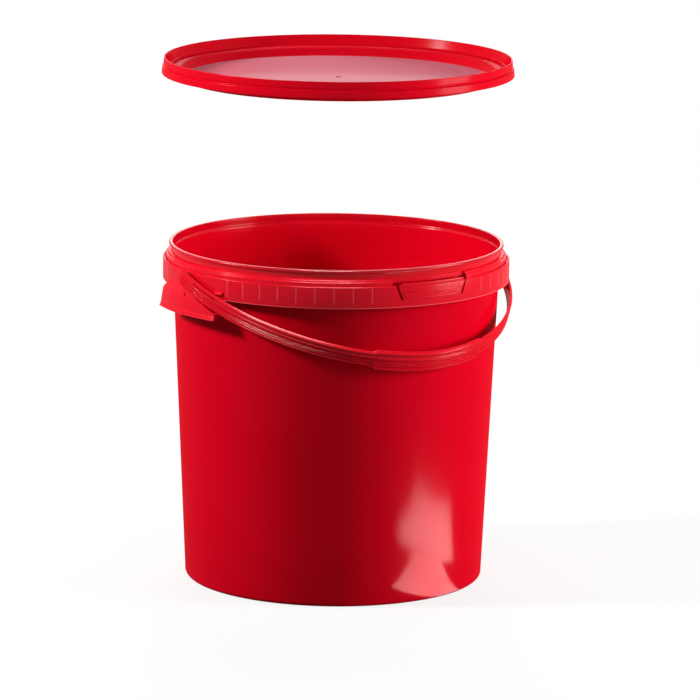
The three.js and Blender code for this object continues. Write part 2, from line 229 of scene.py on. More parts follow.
def mouldedSkinGroup():
    group = bpy.data.node_groups.new("mouldedSkin", "ShaderNodeTree")
    face = group.interface
    face.new_socket("Color", in_out="INPUT", socket_type="NodeSocketColor")
    face.new_socket("Deep Color", in_out="INPUT", socket_type="NodeSocketColor")
    for name in ("Smooth", "Rough", "Grain Scale", "Grain", "Scuffs"):
        face.new_socket(name, in_out="INPUT", socket_type="NodeSocketFloat")
    face.new_socket("Color", in_out="OUTPUT", socket_type="NodeSocketColor")
    face.new_socket("Roughness", in_out="OUTPUT", socket_type="NodeSocketFloat")
    face.new_socket("Height", in_out="OUTPUT", socket_type="NodeSocketFloat")
    nodes, links = group.nodes, group.links
    put = nodes.new("NodeGroupOutput")
    take = nodes.new("NodeGroupInput")
    place = nodes.new("ShaderNodeTexCoord")

    def noise(scale, detail, roughness, stretch=(1, 1, 1)):
        mapping = nodes.new("ShaderNodeMapping")
        mapping.inputs["Scale"].default_value = stretch
        links.new(place.outputs["Object"], mapping.inputs["Vector"])
        texture = nodes.new("ShaderNodeTexNoise")
        texture.inputs["Scale"].default_value = scale
        texture.inputs["Detail"].default_value = detail
        texture.inputs["Roughness"].default_value = roughness
        links.new(mapping.outputs["Vector"], texture.inputs["Vector"])
        return texture

    clouds = noise(9, 3, 0.5).outputs["Fac"]       # slow change of pigment and gloss
    flow = noise(14, 4, 0.6, (1, 1, 0.12)).outputs["Fac"]    # upright streaks along the plastic's flow
    grain = noise(1, 2, 0.5)
    links.new(take.outputs["Grain Scale"], grain.inputs["Scale"])
    scuff = noise(60, 5, 0.75, (1, 1, 6)).outputs["Fac"]     # short level scuffs from nesting and stacking
    shade = addMaths(group, "MULTIPLY", addMaths(group, "ADD", clouds, flow), 0.5)
    shade = addFade(group, shade, 0.35, 0.65, kind="LINEAR")
    color = addColorMix(group, shade, take.outputs["Deep Color"], take.outputs["Color"])
    links.new(color, put.inputs["Color"])
    worn = addFade(group, scuff, 0.62, 0.78, kind="LINEAR")
    worn = addMaths(group, "MULTIPLY", worn, take.outputs["Scuffs"])
    rough = addFade(group, clouds, 0.3, 0.7, take.outputs["Smooth"], take.outputs["Rough"], "LINEAR")
    links.new(addMaths(group, "ADD", rough, worn), put.inputs["Roughness"])
    height = addMaths(group, "MULTIPLY", grain.outputs["Fac"], take.outputs["Grain"])
    links.new(height, put.inputs["Height"])
    return group


mouldedSkin = mouldedSkinGroup()


def redPlastic(name, look):
    material = bpy.data.materials.new(name)
    material.use_nodes = True
    nodes, links = material.node_tree.nodes, material.node_tree.links
    shader = nodes["Principled BSDF"]
    shader.inputs["IOR"].default_value = 1.49
    shader.inputs["Specular IOR Level"].default_value = 0    # all the gloss is in the coat
    shader.inputs["Coat Weight"].default_value = look["gloss"]
    shader.inputs["Coat Roughness"].default_value = look["blur"]
    shader.inputs["Coat IOR"].default_value = 1.49
    skin = nodes.new("ShaderNodeGroup")
    skin.node_tree = mouldedSkin
    skin.inputs["Color"].default_value = (*look["color"], 1)
    skin.inputs["Deep Color"].default_value = (*look["deep"], 1)
    for key in ("Smooth", "Rough", "Grain Scale", "Grain", "Scuffs"):
        skin.inputs[key].default_value = look[key]
    bump = nodes.new("ShaderNodeBump")
    bump.inputs["Strength"].default_value = 1
    bump.inputs["Distance"].default_value = 0.0002
    links.new(skin.outputs["Color"], shader.inputs["Base Color"])
    links.new(skin.outputs["Roughness"], shader.inputs["Roughness"])
    links.new(skin.outputs["Height"], bump.inputs["Height"])
    links.new(bump.outputs["Normal"], shader.inputs["Normal"])
    return material


plasticLook = {
    "bucket": {
        "color": (0.68, 0.0008, 0.0125), "deep": (0.64, 0.0008, 0.011), "gloss": 0.03, "blur": 0.16,
        "Smooth": 0.3, "Rough": 0.4, "Grain Scale": 700.0, "Grain": 0.015, "Scuffs": 0.03,
        # inside: the inner face's paler red, painted light
        "inside": (0.76, 0.001, 0.014), "rimGloss": 0.3, "rimFrom": 303.0, "rimTo": 310.0,
    },
    "collar": {
        "color": (0.7, 0.002, 0.016), "deep": (0.66, 0.0016, 0.013), "gloss": 0.24, "blur": 0.22,
        "Smooth": 0.3, "Rough": 0.4, "Grain Scale": 600.0, "Grain": 0.012, "Scuffs": 0.05,
    },
    "lid": {
        "color": (0.66, 0.001, 0.012), "deep": (0.62, 0.001, 0.01), "gloss": 0.09, "blur": 0.2,
        "Smooth": 0.3, "Rough": 0.4, "Grain Scale": 500.0, "Grain": 0.012, "Scuffs": 0.05,
    },
    "handle": {
        "color": (0.68, 0.003, 0.015), "deep": (0.63, 0.002, 0.013), "gloss": 0.18, "blur": 0.18,
        "Smooth": 0.3, "Rough": 0.4, "Grain Scale": 800.0, "Grain": 0.012, "Scuffs": 0.05,
    },
}
plasticLook["panel"] = {
    **plasticLook["lid"], "color": (0.48, 0.001, 0.01), "deep": (0.45, 0.001, 0.009),
    "satin": 0.29, "satinRoughness": 0.35, "satinTint": (1.0, 0.8, 1.0),
}
# gate: a much darker red than the lid's, for the gate mark
plasticLook["gate"] = {**plasticLook["lid"], "color": (0.2, 0.0005, 0.004), "deep": (0.16, 0.0004, 0.003)}


def addSinkLinesAndPaintedHighlights(material, look):
    # faint grooves where the ribs behind the collar draw its face in, with a painted highlight in their pale
    # colour, and a painted highlight along the lower edge
    tree = material.node_tree
    links = tree.links
    bump = next(node for node in tree.nodes if node.bl_idname == "ShaderNodeBump")
    skin = next(node for node in tree.nodes if node.bl_idname == "ShaderNodeGroup")
    x, y, z, radius = splitPlace(tree)

    def both(a, b):
        return addMaths(tree, "MULTIPLY", a, b)

    angle = addMaths(tree, "ARCTAN2", x, both(y, -1))
    turns = both(angle, look["ribs"] / turn)
    away = addMaths(tree, "ABSOLUTE", addMaths(tree, "SUBTRACT", addMaths(tree, "FRACT", turns), 0.5))
    line = addFade(tree, away, 0, look["halfWidth"] / look["radius"] * look["ribs"] / turn, 1, 0)
    high = addFade(tree, z, (look["top"] - 1) * mm, look["top"] * mm, 1, 0)
    low = addFade(tree, z, (look["bottom"] + 3.4) * mm, (look["bottom"] + 6.4) * mm)
    outside = addMaths(tree, "GREATER_THAN", radius, (look["radius"] - 0.4) * mm)
    fromTab = addMaths(tree, "ABSOLUTE", angle)
    clearOfTab = addMaths(tree, "GREATER_THAN", fromTab, math.radians(look["tabClear"]))
    fromPivot = addMaths(tree, "ABSOLUTE", addMaths(tree, "SUBTRACT", fromTab, turn / 4))
    clearOfPivot = addMaths(tree, "GREATER_THAN", fromPivot, math.radians(look["pivotClear"]))
    mask = both(both(both(high, low), both(outside, clearOfTab)), both(clearOfPivot, line))
    height = addMaths(tree, "ADD", skin.outputs["Height"], both(mask, -look["depth"]))
    links.new(height, bump.inputs["Height"])
    # painted highlight: the grooves' colour is mixed towards a pale red
    color = addColorMix(tree, both(mask, look["paintedHighlightShare"]), skin.outputs["Color"], look["pale"])
    # painted highlight: a bright red band along the lower edge of the collar's outer face
    onEdge = addMaths(tree, "LESS_THAN", radius, (look["radius"] + 0.1) * mm)
    edge = both(addFade(tree, z, (look["bottom"] + 0.5) * mm, (look["bottom"] + 1.2) * mm, 1, 0), outside)
    color = addColorMix(tree, both(edge, onEdge), color, look["edge"])
    links.new(color, tree.nodes["Principled BSDF"].inputs["Base Color"])


def addSatin(material, look):
    # a pale haze at low angles, as on a finely etched mould
    shader = material.node_tree.nodes["Principled BSDF"]
    shader.inputs["Sheen Weight"].default_value = look["satin"]
    shader.inputs["Sheen Roughness"].default_value = look["satinRoughness"]
    shader.inputs["Sheen Tint"].default_value = (*look["satinTint"], 1)


def glossToRim(material, look):
    # the gloss coat's weight rises towards the rim
    tree = material.node_tree
    z = splitPlace(tree)[2]
    rise = addFade(tree, z, look["rimFrom"] * mm, look["rimTo"] * mm, look["gloss"], look["rimGloss"])
    tree.links.new(rise, tree.nodes["Principled BSDF"].inputs["Coat Weight"])


def paintedLightInside(material, look, shell):
    # painted light: the inner face's colour is paler, standing in for the light that reaches it, also through
    # the thin wall
    tree = material.node_tree
    skin = next(node for node in tree.nodes if node.bl_idname == "ShaderNodeGroup")
    x, y, z, radius = splitPlace(tree)
    outer = addMaths(tree, "ADD", addMaths(tree, "MULTIPLY", z, shell["slope"]), shell["baseRadius"] * mm)
    depth = addMaths(tree, "SUBTRACT", outer, radius)
    inside = addFade(tree, depth, shell["thickness"] * 0.4 * mm, shell["thickness"] * 0.6 * mm)
    above = addMaths(tree, "GREATER_THAN", z, shell["footHeight"] * 1.2 * mm)
    below = addMaths(tree, "LESS_THAN", z, shell["neckBottom"] * mm)
    share = addMaths(tree, "MULTIPLY", inside, addMaths(tree, "MULTIPLY", above, below))
    color = addColorMix(tree, share, skin.outputs["Color"], look["inside"])
    tree.links.new(color, tree.nodes["Principled BSDF"].inputs["Base Color"])


bucketRed = redPlastic("bucket red", plasticLook["bucket"])
glossToRim(bucketRed, plasticLook["bucket"])
collarRed = redPlastic("collar red", plasticLook["collar"])
lidRed = redPlastic("lid red", plasticLook["lid"])
handleRed = redPlastic("handle red", plasticLook["handle"])
panelRed = redPlastic("panel red", plasticLook["panel"])
addSatin(panelRed, plasticLook["panel"])
gateRed = redPlastic("gate red", plasticLook["gate"])
print("plastics made")


# The bucket's wall, floor, neck and rim bead

wall = {
    "height": 319.5, "baseRadius": 140.5, "slope": 0.0446, "thickness": 1.9, "footHeight": 3.0,
    "floorTop": 5.2, "footOuter": 138.6, "footWidth": 4.0, "neckBottom": 311.5, "neckInner": 153.8,
    "neckOuter": 155.5, "beadRadius": 157.35, "beadHeight": 3.2, "collarFrom": 306.0, "heel": 2.4,
    "levels": (60, 150, 240), "steps": 232,            # heights of the edge rings on the long wall
}


def wallAt(z):
    return wall["baseRadius"] + wall["slope"] * z


def makeWall():
    top, inner, outer = wall["height"], wall["neckInner"], wall["neckOuter"]
    thin, foot, floor = wall["thickness"], wall["footHeight"], wall["floorTop"]
    footOut = wall["footOuter"]
    footIn = footOut - wall["footWidth"]
    bead, beadFoot = wall["beadRadius"], top - wall["beadHeight"]
    neck, shoulder = wall["neckBottom"], wall["collarFrom"]
    corners = [(0, foot, 0), (footIn - 1, foot, 0.4), (footIn, 0, 0.4), (footOut, 0, 1.0),
               (wallAt(wall["heel"]), wall["heel"], 1.4)]
    corners += [(wallAt(z), z, 0) for z in wall["levels"]]
    corners += [(wallAt(shoulder), shoulder, 0), (outer, neck - 1, 0.8), (outer, beadFoot, 0.3),
                (bead, beadFoot + 0.2, 1.1), (bead, top, 1.5), (inner, top, 0.9), (inner, neck + 0.8, 0.7),
                (wallAt(neck) - thin, neck - 0.8, 0.7)]
    corners += [(wallAt(z) - thin, z, 0) for z in reversed(wall["levels"])]
    corners += [(wallAt(floor) - thin, floor, 4.5), (0, floor, 0)]
    piece = meshFrom(spinWhole(corners, wall["steps"]), "bucketWall")
    paintedLightInside(bucketRed, plasticLook["bucket"], wall)
    return finishPiece(piece, "bucket", bucketRed)


# The ledge and the collar, with the window that frees the pull tab

collar = {
    "ledgeTop": 310.4, "ledgeStep": 1.7, "firstRadius": 158.5, "ledgeRadius": 160.3, "skin": 1.7,
    "radius": 163.0, "thickness": 1.6, "top": 305.1, "bottom": 284.9, "channel": 2.0,
    "ribs": 58, "ribThickness": 1.2, "ribClear": 2.0,
}
sinkLinesAndPaintedHighlights = {
    "ribs": collar["ribs"], "radius": collar["radius"], "bottom": collar["bottom"],
    # pale is a painted highlight on the grooves, and edge a painted highlight along the collar's lower edge
    "top": collar["top"] - 0.9, "halfWidth": 1.0, "depth": 0.7, "pale": (0.8, 0.1, 0.13), "paintedHighlightShare": 0.55,
    "edge": (0.98, 0.09, 0.11), "tabClear": 17.5, "pivotClear": 15.5,    # angles from the tab and the pivots
}
tab = {
    "halfAngle": 13.1, "taper": 1.9, "bottom": 291.8, "ridges": 6, "ridgeHeight": 0.75, "behind": 156.2,
    "window": 14.8, "rise": 2.2, "rimHeight": 3.2, "rimOut": 0.5,
    "slot": 2.2, "slotDepth": 9.0, "slotLength": 26.0, "slotRound": 0.7,
}


def makeCollar():
    c = collar
    inside = c["radius"] - c["thickness"]
    channel = c["top"] - c["channel"]
    step = c["ledgeTop"] - c["ledgeStep"]
    corners = [
        (wall["neckOuter"] - 0.6, c["ledgeTop"] + 1.1, 0), (c["firstRadius"], c["ledgeTop"], 0.6),
        (c["firstRadius"] + 0.1, step + 0.3, 0.25), (c["ledgeRadius"], step, 0.7),
        (c["ledgeRadius"], channel, 0.3), (inside + 0.1, channel, 0.3), (inside + 0.15, c["top"], 0.35),
        (c["radius"], c["top"], 0.8), (c["radius"], c["bottom"], 0.5), (inside, c["bottom"], 0.3),
        (inside, channel - c["skin"], 0.3), (c["ledgeRadius"] - c["skin"], channel - c["skin"], 0.3),
        (c["ledgeRadius"] - c["skin"], step - c["skin"], 0.4), (wallAt(step) - 0.5, step - c["skin"], 0),
    ]
    piece = meshFrom(spinWhole(corners, wall["steps"], closed=True), "bucketCollar")
    cutTabWindow(piece, inside, channel)
    for side in (-1, 1):
        booleanWith(piece, pivotRod("bore", boss["bore"], side * (inside - 3), side * (c["radius"] + 3)))
    addSinkLinesAndPaintedHighlights(collarRed, sinkLinesAndPaintedHighlights)
    return finishPiece(piece, "bucket", collarRed)


def cutTabWindow(piece, inside, channel):
    # opens the ledge behind the tab, then cuts the slot at each of its sides
    slotAngle = math.degrees(tab["slot"] / collar["radius"])
    low, high = channel - collar["skin"] - 1, collar["ledgeTop"] + 3
    near, far = tab["behind"], inside + 0.02
    behind = [(near, low, 0), (far, low, 0), (far, high, 0), (near, high, 0)]
    booleanWith(piece, meshFrom(spinPart(behind, 0, tab["window"], 24), "behindTab"))
    lean = math.atan2(math.radians(tab["taper"]) * collar["radius"], collar["top"] - tab["bottom"])
    for side in (-1, 1):
        # each slot leans inwards towards its foot, and its top opens over the tab's cut corner
        bm = bmesh.new()
        bmesh.ops.create_cube(bm, size=1)
        size = tab["slot"] * mm, tab["slotDepth"] * mm, tab["slotLength"] * mm
        bmesh.ops.scale(bm, vec=size, verts=bm.verts[:])
        bmesh.ops.translate(bm, vec=(0, 0, size[2] / 2), verts=bm.verts[:])
        feet = [e for e in bm.edges if abs(e.verts[0].co.x - e.verts[1].co.x) < 1e-7
                and abs(e.verts[0].co.z - e.verts[1].co.z) < 1e-7 and e.verts[0].co.z < 1e-6]
        bmesh.ops.bevel(bm, geom=feet, offset=tab["slotRound"] * mm, offset_type="OFFSET", segments=3,
                        profile=0.5, affect="EDGES", material=-1)
        bmesh.ops.rotate(bm, verts=bm.verts[:], cent=(0, 0, 0), matrix=Matrix.Rotation(side * lean, 3, "Y"))
        foot = -side * math.radians(tab["taper"]) * collar["radius"] * mm
        bmesh.ops.translate(bm, vec=(foot, -collar["radius"] * mm, tab["bottom"] * mm), verts=bm.verts[:])
        middle = math.radians(side * (tab["halfAngle"] + slotAngle / 2))
        bmesh.ops.rotate(bm, verts=bm.verts[:], cent=(0, 0, 0), matrix=Matrix.Rotation(middle, 3, "Z"))
        booleanWith(piece, meshFrom(bm, "tabSlot"))


def makeTabRim():
    # the raised edge along the tab's top, with its corners cut off
    high = collar["top"] + tab["rise"]
    low = high - tab["rimHeight"]
    out = collar["radius"] + tab["rimOut"]
    inside = collar["radius"] - collar["thickness"]
    section = [(inside, low, 0), (inside, high, 0.3), (out, high, 0.5), (out, low, 0.3)]
    piece = meshFrom(spinPart(section, 0, tab["halfAngle"], 40), "tabRim")
    for v in piece.data.vertices:
        angle = math.atan2(v.co.x, -v.co.y)
        if abs(angle) > math.radians(tab["halfAngle"] - 0.05):    # the end faces lean in by their own height
            share = math.degrees(max(0.0, v.co.z / mm - low) / collar["radius"]) / tab["halfAngle"]
            v.co = Matrix.Rotation(-angle * share, 3, "Z") @ v.co
    return finishPiece(piece, "bucket", collarRed)


def makeTabRidges():
    # level ridges that give the tab its grip, each one a rounded band with sunk ends
    bm = bmesh.new()
    low, high = tab["bottom"], collar["top"]
    pitch = (high + tab["rise"] - tab["rimHeight"] - low) / (tab["ridges"] + 0.7)
    root, out = collar["radius"] - 0.5, collar["radius"] + tab["ridgeHeight"]
    for index in range(tab["ridges"]):
        z = low + (index + 0.8) * pitch
        half = tab["halfAngle"] - tab["taper"] * (high - z) / (high - low) - 1.0
        section = [(root, z - 0.5, 0), (out, z - 0.35, 0.15), (out - 0.2, z + 0.2, 0.2), (root, z + 0.8, 0)]
        one = spinPart(section, 0, half, 28)
        mesh = bpy.data.meshes.new("ridge")
        one.to_mesh(mesh)
        one.free()
        bm.from_mesh(mesh)
        bpy.data.meshes.remove(mesh)
    return finishPiece(meshFrom(bm, "tabRidges"), "bucket", collarRed)


def makeRibs():
    # webs between wall and collar, not behind the tab or the pivots
    bm = bmesh.new()
    inside = collar["radius"] - collar["thickness"]
    low, high = collar["bottom"] + collar["ribClear"], collar["top"] - collar["channel"] - 1
    depth = inside - wallAt(low) + 0.8
    for index in range(collar["ribs"]):
        angle = (index + 0.5) * 360 / collar["ribs"]
        fromTab = min(angle, 360 - angle)
        fromPivot = min((angle + 90) % 180, 180 - (angle + 90) % 180)
        if fromTab < tab["halfAngle"] + 4 or fromPivot < shield["halfAngle"] + 1:
            continue
        web = bmesh.ops.create_cube(bm, size=1)["verts"]
        bmesh.ops.scale(bm, vec=(collar["ribThickness"] * mm, depth * mm, (high - low) * mm), verts=web)
        bmesh.ops.translate(bm, vec=(0, -(inside + 0.3 - depth / 2) * mm, (low + high) / 2 * mm), verts=web)
        bmesh.ops.rotate(bm, verts=web, cent=(0, 0, 0), matrix=Matrix.Rotation(math.radians(angle), 3, "Z"))
    return finishPiece(meshFrom(bm, "collarRibs"), "bucket", collarRed)


# The shield under each pivot, on whose cut edge the hanging handle rests

shield = {
    "halfAngle": 15.8, "thickness": 1.8, "lipRadius": 172.0, "bottom": 266.0, "shoulder": 292.0, "root": 3.4,
    "restGap": 0.35, "behindGap": 0.4, "soft": 0.45, "steps": 40,
    "strapRoom": (60, 90, 60), "roomMiddle": 165.0, "roomTo": 180.0,     # the cutting block and rod, along X
    "face": [(165.1, 287.9, 1.0), (169.0, 284.5, 2.4), (170.6, 275, 3)],    # down from the shoulder
    "back": [(170.6, 275, 3), (169, 283.6, 2), (165.1, 286.4, 0.8)],    # and up, one thickness further in
    "web": [(169.8, 275, 0), (168.2, 284.2, 0), (164.3, 287.4, 0)],
}
mark = {
    "shift": 0.6, "half": 0.16,
    "section": [(166.6, 285.8, 0), (169.2, 285.2, 0.15), (169.9, 283.4, 0.15), (168.0, 282.6, 0)],
}


def shieldSection():
    # the shoulder, the face, a fine bead above the lip, and up again inside
    s, thin = shield, shield["thickness"]
    lip, low, high = s["lipRadius"], s["bottom"], s["shoulder"]
    inside = collar["radius"] - collar["thickness"] + 0.5
    corners = [(inside, high - s["root"], 0), (inside, high, 0), (collar["radius"] + 1.0, high - 0.4, 0.8)]
    corners += s["face"]
    corners += [(lip - 0.8, low + 3.9, 0.4), (lip + 0.1, low + 3.2, 0.35), (lip - 0.5, low + 2.1, 0.3),
                (lip + 0.9, low + 1.2, 0.45), (lip + 0.5, low, 0.4), (lip - thin, low, 0.3)]
    corners += [(radius - thin, z, rounding) for radius, z, rounding in s["back"]]
    return corners


def cutForStrap(piece, side):
    # takes away the room of the resting strap and of its turning end
    bm = bmesh.new()
    bmesh.ops.create_cube(bm, size=1)
    across, along, up = shield["strapRoom"]
    bmesh.ops.scale(bm, vec=(across * mm, along * mm, up * mm), verts=bm.verts[:])
    drop = strap["width"] - strap["above"] + shield["restGap"]
    place = side * shield["roomMiddle"] * mm, (strap["tail"] + 1 - along / 2) * mm, (up / 2 - drop) * mm
    bmesh.ops.translate(bm, vec=place, verts=bm.verts[:])
    bmesh.ops.rotate(bm, verts=bm.verts[:], cent=(0, 0, 0),
                     matrix=Matrix.Rotation(math.radians(strap["hang"]), 3, "X"))
    bmesh.ops.translate(bm, vec=(0, 0, pivotZ * mm), verts=bm.verts[:])
    booleanWith(piece, meshFrom(bm, "strapRoom"))
    reach = math.hypot(strap["tail"], strap["above"]) + shield["restGap"]
    innerFace = strap["halfSpan"] - strap["thickness"] / 2 - shield["behindGap"]
    booleanWith(piece, pivotRod("strapEndRoom", reach, side * innerFace, side * shield["roomTo"]))


def shieldWeb(side, end):
    # an upright web that closes one end of the shield against the wall
    s = shield
    angle = math.degrees(s["thickness"] / s["lipRadius"])
    low, high = s["bottom"] + 0.6, s["shoulder"] - 1
    section = [(wallAt(low) - 0.6, low, 0), (s["lipRadius"] - 1, low, 0)] + s["web"]
    section += [(collar["radius"] - 1, high, 0), (wallAt(s["shoulder"]) - 0.6, high, 0)]
    middle = side * 90 + end * (s["halfAngle"] - angle / 2)
    return meshFrom(spinPart(section, middle, angle / 2 - 0.01, 2), "web")


def makeShields():
    for side in (-1, 1):
        plate = meshFrom(spinPart(shieldSection(), side * 90, shield["halfAngle"], shield["steps"]), "shield")
        for end in (-1, 1):
            booleanWith(plate, shieldWeb(side, end), "UNION")
        cutForStrap(plate, side)
        softenEdges(plate, shield["soft"], 35)
        plate.name = "shield" + sideName(side)
        finishPiece(plate, "bucket", collarRed)


def makeSlitMarks():
    # a short raised line near each shield's top, level with the resting strap's lower edge
    for side in (-1, 1):
        line = spinPart(mark["section"], side * 90 + mark["shift"], mark["half"], 2)
        finishPiece(meshFrom(line, "mark" + sideName(side)), "bucket", collarRed)


# The sleeve round each pin, and the lug above each end of the hanging strap

boss = {"radius": 5.2, "bore": 3.3, "soft": 0.4, "sink": 0.6, "gap": 0.5}
lug = {"angle": 15.3, "half": 1.58, "out": 2.4, "drop": 8.0, "soft": 0.3}


def makeBosses():
    faces = strap["halfSpan"] - strap["thickness"] / 2 - boss["gap"]
    inside = collar["radius"] - collar["thickness"] - boss["sink"]
    for side in (-1, 1):
        sleeve = pivotRod("boss" + sideName(side), boss["radius"], side * inside, side * faces, boss["soft"])
        booleanWith(sleeve, pivotRod("bore", boss["bore"], side * (inside - 2), side * (faces + 2)))
        finishPiece(sleeve, "bucket", collarRed)


def makeLugs():
    low = pivotZ - lug["drop"]
    root, out = collar["radius"] - 0.8, collar["radius"] + lug["out"]
    section = [(root, low, 0), (out - 0.8, low, 0.4), (out, low + 2, 0.5), (out - 1.6, low + 3.6, 0.5),
               (root, low + 4, 0)]
    for side in (-1, 1):
        block = spinPart(section, side * (90 - lug["angle"]), lug["half"], 6)
        block = meshFrom(block, "lug" + sideName(side))
        softenEdges(block, lug["soft"], 50)
        finishPiece(block, "bucket", collarRed)


# The handle: a railed strap bent to half an ellipse, wider over its grip, with a pin at each end

strap = {
    "width": 14.5, "above": 8.5, "thickness": 2.6, "tail": 6.5,      # above: from the pivots to the top edge
    "halfSpan": 168.0, "reach": 175.5, "fullness": 1.9, "hang": 21.5,    # a fullness of 2 is a true ellipse
    "gripWidth": 19.6, "gripAbove": 10.5, "gripThickness": 3.4, "gripLength": 128.0, "gripRamp": 1.8,
    "stations": 400,
}
strapFace = [                                      # down from the top edge, out from the middle plane
    (0.0, -0.8, 0.3), (1.9, 1.5, 0.3), (2.2, 0.0, 0.1), (4.6, 0.0, 0.1), (5.7, 1.4, 0.25), (6.2, 1.4, 0.1),
    (6.9, 0.4, 0.1), (7.4, 1.2, 0.15), (8.8, 0.4, 0.1), (9.3, 1.2, 0.15), (10.7, 0.4, 0.1), (11.2, 1.2, 0.15),
    (12.3, 0.1, 0.1), (12.7, 0.1, 0.1), (13.2, 1.3, 0.2), (14.5, 1.2, 0.3),
]
teeth = {
    "first": 15.0, "pitch": 1.05, "count": 30,         # from the pivots, along the strap
    "width": 0.5, "across": 2.0, "height": 0.9, "down": 3.3, "out": 0.35,
}
pin = {"radius": 3.0, "sink": 0.6, "headRadius": 4.0, "headThickness": 2.0, "headRoom": 1.1, "headSoft": 0.5}


def strapPoint(along):
    # a place on the strap's middle line and its outward direction; 0 and 1 are the pivots
    angle = math.pi * min(max(along, 1e-6), 1 - 1e-6)
    a, b = strap["halfSpan"], strap["reach"]
    level = 2 / strap["fullness"]
    across = math.copysign(abs(math.cos(angle)) ** level, math.cos(angle))
    point = Vector((-a * across, -b * math.sin(angle) ** level, 0))
    normal = Vector((-b * math.cos(angle), -a * math.sin(angle), 0)).normalized()
    beyond = along if along < 0 else along - 1 if along > 1 else 0
    point.y += abs(beyond) * strapLength()
    return point, normal


def strapLength():
    a, b = strap["halfSpan"], strap["reach"]
    return math.pi * math.sqrt((a * a + b * b) / 2)


def gripShare(along):
    # 0 on the thin strap and 1 on the grip, with a short ramp between
    fromCrown = abs(along - 0.5) * strapLength()
    share = (strap["gripLength"] / 2 - fromCrown) / strap["gripRamp"] + 0.5
    share = min(max(share, 0), 1)
    return share * share * (3 - 2 * share)


def bendStrap(bm, along):
    # takes bm's points, x up from the top edge, y a share of the strap's line, z outwards, to their places
    hang = Matrix.Rotation(math.radians(strap["hang"]), 3, "X")
    for v in bm.verts:
        share = gripShare(along(v.co.y))
        wide = 1 + share * (strap["gripWidth"] / strap["width"] - 1)
        edge = strap["above"] + share * (strap["gripAbove"] - strap["above"])
        thick = 1 + share * (strap["gripThickness"] / strap["thickness"] - 1)
        point, normal = strapPoint(along(v.co.y))
        flat = point * mm + normal * v.co.z * thick + Vector((0, 0, edge * mm + v.co.x * wide))
        v.co = hang @ flat + Vector((0, 0, pivotZ * mm))


def makeStrap():
    tail = strap["tail"] / strapLength()
    corners = [(0, -strap["thickness"] / 2, 0.4)]
    corners += [(-down, out, rounding) for down, out, rounding in strapFace]
    corners.append((-strap["width"], -strap["thickness"] / 2, 0.4))
    bm = bmesh.new()
    addChain(bm, corners, closed=True)
    face = bm.faces.new(sectionLoop(bm))
    grown = bmesh.ops.extrude_face_region(bm, geom=[face])
    moved = [v for v in grown["geom"] if isinstance(v, bmesh.types.BMVert)]
    bmesh.ops.translate(bm, vec=(0, 1, 0), verts=moved)
    lengthwise = [e for e in bm.edges if abs(e.verts[0].co.y - e.verts[1].co.y) > 0.5]
    bmesh.ops.subdivide_edges(bm, edges=lengthwise, cuts=strap["stations"], use_grid_fill=True)
    bendStrap(bm, lambda share: -tail + (1 + 2 * tail) * share)
    bmesh.ops.remove_doubles(bm, verts=bm.verts[:], dist=1e-7)
    piece = meshFrom(bm, "handleStrap")
    bevel = piece.modifiers.new("ends", "BEVEL")   # only the cut ends are this sharp
    bevel.width = 0.4 * mm
    bevel.segments = 2
    bevel.limit_method = "ANGLE"
    bevel.angle_limit = math.radians(75)
    applyModifiers(piece)
    finishPiece(piece, "handle", handleRed)


def makeTeeth():
    # fine cross ribs in the strap's channel near each end
    t = teeth
    bm = bmesh.new()
    for side in (0, 1):
        for index in range(t["count"]):
            along = (t["first"] + index * t["pitch"]) / strapLength()
            verts = bmesh.ops.create_cube(bm, size=1)["verts"]
            size = t["across"] * mm, t["width"] / strapLength(), t["height"] * mm
            place = -t["down"] * mm, abs(side - along), t["out"] * mm
            bmesh.ops.scale(bm, vec=size, verts=verts)
            bmesh.ops.translate(bm, vec=place, verts=verts)
    bendStrap(bm, lambda share: share)
    finishPiece(meshFrom(bm, "strapTeeth"), "handle", handleRed)


def makePins():
    inner = collar["radius"] - collar["thickness"] - pin["headRoom"]
    outer = strap["halfSpan"] - pin["sink"]
    for side in (-1, 1):
        shaft = pivotRod("pin" + sideName(side), pin["radius"], side * inner, side * outer)
        head = pivotRod("pinHead" + sideName(side), pin["headRadius"], side * (inner - pin["headThickness"]),
                        side * inner, pin["headSoft"])
        finishPiece(shaft, "handle", handleRed)
        finishPiece(head, "handle", handleRed)


# The lid: a two-step skirt, a thin stacking edge, a ledge over the bucket's bead and a sunk panel

lid = {                                            # depths are counted down from the lid's top edge
    "height": 15.0, "topRadius": 162.7, "skirtRadius": 164.9, "skin": 1.7, "ledgeOuter": 158.4,
    "ledgeInner": 149.2, "ledgeDepth": 9.3, "panelRadius": 144.9, "panelDepth": 18.6, "panelSkin": 0.4,
    "grooveDepth": 6.9, "snapRadius": 157.85, "seatRecess": 0.6, "gateRadius": 2.6, "steps": 232,
}


